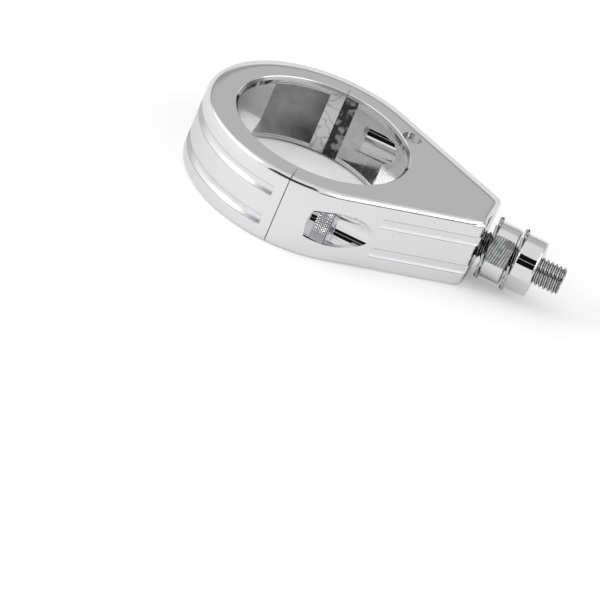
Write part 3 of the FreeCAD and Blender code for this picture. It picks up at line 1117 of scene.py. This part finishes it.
class TUBECLAMP_OT_lock_washers(bpy.types.Operator):
    """Lock washers with twisted teeth"""

    bl_idname = "tubeclamp.lock_washers"
    bl_label = "Lock washers"

    def execute(self, context):
        washers = context.scene.tubeclamp_washers
        material = washer_metal(context.scene.tubeclamp_plating)
        for name in ("inner", "outer"):
            node = name + "_washer"
            points, faces = self.washer(node, washers)
            new_piece(name + "_lock_washer", points, faces, material, [node])
        return {"FINISHED"}

    def washer(self, node, washers):
        """Flat ring with its teeth, which reach a little into it."""
        centre = middle(node, X)
        half = reach(node, X)
        outer = reach(node, Z)
        root = outer - washers.tooth_length
        hole = washers.hole_radius
        angles = even_angles(96)
        edge, overlap, tooth_thickness = 0.1 * MM, 0.5 * MM, 0.9
        profile = [
            (-half, hole + edge), (-half, root), (edge - half, root + edge), (half - edge, root + edge),
            (half, root), (half, hole + edge), (half - edge, hole), (edge - half, hole),
        ]
        points, faces = skin_rings([ring(centre + x, r, angles) for x, r in profile], closed=True)
        for tooth in range(washers.tooth_count):
            angle = math.tau * tooth / washers.tooth_count
            more, shapes = self.tooth(centre, half * tooth_thickness, root - overlap, outer, angle, washers)
            shift = len(points)
            points += more
            faces += [tuple(index + shift for index in face) for face in shapes]
        return points, faces

    def tooth(self, centre, half, root, tip, angle, washers):
        """One tooth as sections along its length, each turned a little more."""
        sections = 8
        corner = 0.12 * MM
        tip_inset, tip_thinning = 0.15 * MM, 0.12 * MM
        twist_end, twist_power = 0.6, 1.5
        rings = []
        for step in range(sections + 1):
            share = step / sections
            radius = root + (tip - root) * share
            width = washers.root_width + (washers.tip_width - washers.root_width) * share
            turn = washers.twist * min(1.0, share / twist_end) ** twist_power
            w, t = width / 2, half
            if step == sections:
                w, t = w - tip_inset, t - tip_thinning
            outline = [(-w, -t + corner), (-w + corner, -t), (w - corner, -t), (w, -t + corner),
                       (w, t - corner), (w - corner, t), (-w + corner, t), (-w, t - corner)]
            section = []
            for side, up in outline:
                along = side * math.cos(turn) - up * math.sin(turn)
                out = side * math.sin(turn) + up * math.cos(turn)
                y = radius * math.cos(angle) - along * math.sin(angle)
                z = radius * math.sin(angle) + along * math.cos(angle)
                section.append((centre + out, y, z))
            rings.append(section)
        return skin_rings(rings)


class TUBECLAMP_OT_nuts(bpy.types.Operator):
    """Round nuts with softened rims and milled flats"""

    bl_idname = "tubeclamp.nuts"
    bl_label = "Nuts"

    def execute(self, context):
        plating = context.scene.tubeclamp_plating
        nuts = context.scene.tubeclamp_nuts
        for name, turn, milled in (("inner", nuts.inner_turn, nuts.inner_milling),
                                   ("outer", nuts.outer_turn, nuts.outer_milling)):
            node = name + "_nut"
            material = nut_metal(name + "_nut_chrome", plating, turn, nuts.flat_width / 2, milled)
            points, faces = self.nut(node, turn, nuts)
            new_piece(name + "_round_nut", points, faces, material, [node],
                      sharp_angle=math.radians(21))
        return {"FINISHED"}

    def nut(self, node, turn, nuts):
        """Rounded profile turned about X, cut off at the two flats and then turned as a whole."""
        start, end = station(node, 0), station(node, 1)
        outer = reach(node, Z)
        flat = nuts.flat_width / 2
        hole, edge, lead = nuts.hole_radius, nuts.edge_radius, 0.35 * MM
        steps = 7
        profile = [(start + lead, hole), (start, hole + lead)]
        for step in reversed(range(steps + 1)):
            angle = math.radians(90) * step / steps
            profile.append((start + edge * (1 - math.sin(angle)), outer - edge * (1 - math.cos(angle))))
        profile += [(start + end - x, r) for x, r in reversed(profile)]
        angles = self.angles(outer, flat)
        rings = []
        for x, radius in profile:
            points = []
            for angle in angles:
                out = radius * math.cos(angle)
                up = radius * math.sin(angle)
                out = max(-flat, min(flat, out))
                y = -out * math.cos(turn) + up * math.sin(turn)
                z = out * math.sin(turn) + up * math.cos(turn)
                points.append((x, y, z))
            rings.append(points)
        return skin_rings(rings, closed=True)

    def angles(self, outer, flat):
        """Angles round the nut, with one at each edge of the two flats."""
        edge = math.acos(flat / outer)
        stops = [-edge, edge, math.pi - edge, math.pi + edge, math.tau - edge]
        on_flat, on_round = 24, 56
        counts = [on_flat, on_round, on_flat, on_round]
        made = []
        for low, high, count in zip(stops, stops[1:], counts):
            made += [low + (high - low) * step / count for step in range(count)]
        return made


class TUBECLAMP_PT_panel(bpy.types.Panel):
    """Buttons that finish the clamp, piece by piece"""

    bl_label = "Tube Clamp"
    bl_space_type = "VIEW_3D"
    bl_region_type = "UI"
    bl_category = "Tube Clamp"

    def draw(self, context):
        for operator in OPERATORS:
            self.layout.operator(operator.bl_idname)
        for name in SETTINGS:
            box = self.layout.box()
            group = getattr(context.scene, name)
            for item in group.bl_rna.properties:
                if not item.is_readonly and item.identifier != "name":
                    box.prop(group, item.identifier)


OPERATORS = (
    TUBECLAMP_OT_stage,
    TUBECLAMP_OT_halves,
    TUBECLAMP_OT_screws,
    TUBECLAMP_OT_spring_washers,
    TUBECLAMP_OT_stud,
    TUBECLAMP_OT_lock_washers,
    TUBECLAMP_OT_nuts,
)

SETTINGS = {
    "tubeclamp_studio": StudioSettings,
    "tubeclamp_plating": PlatingSettings,
    "tubeclamp_casting": CastingSettings,
    "tubeclamp_threads": ThreadSettings,
    "tubeclamp_washers": WasherSettings,
    "tubeclamp_nuts": NutSettings,
}


def register():
    for kind in (*SETTINGS.values(), *OPERATORS, TUBECLAMP_PT_panel):
        bpy.utils.register_class(kind)
    for name, kind in SETTINGS.items():
        setattr(bpy.types.Scene, name, PointerProperty(type=kind))


def unregister():
    for name in SETTINGS:
        delattr(bpy.types.Scene, name)
    for kind in (TUBECLAMP_PT_panel, *reversed(OPERATORS), *SETTINGS.values()):
        bpy.utils.unregister_class(kind)


def main():
    register()
    for build in (polish_group, casting_group, ripple_group, groove_group, milling_group,
                  bore_group, outside_groove_group, buffed_group):
        build()
    bpy.ops.tubeclamp.stage()
    bpy.ops.tubeclamp.halves()
    bpy.ops.tubeclamp.screws()
    bpy.ops.tubeclamp.spring_washers()
    bpy.ops.tubeclamp.stud()
    bpy.ops.tubeclamp.lock_washers()
    bpy.ops.tubeclamp.nuts()


if __name__ == "__main__":
    main()
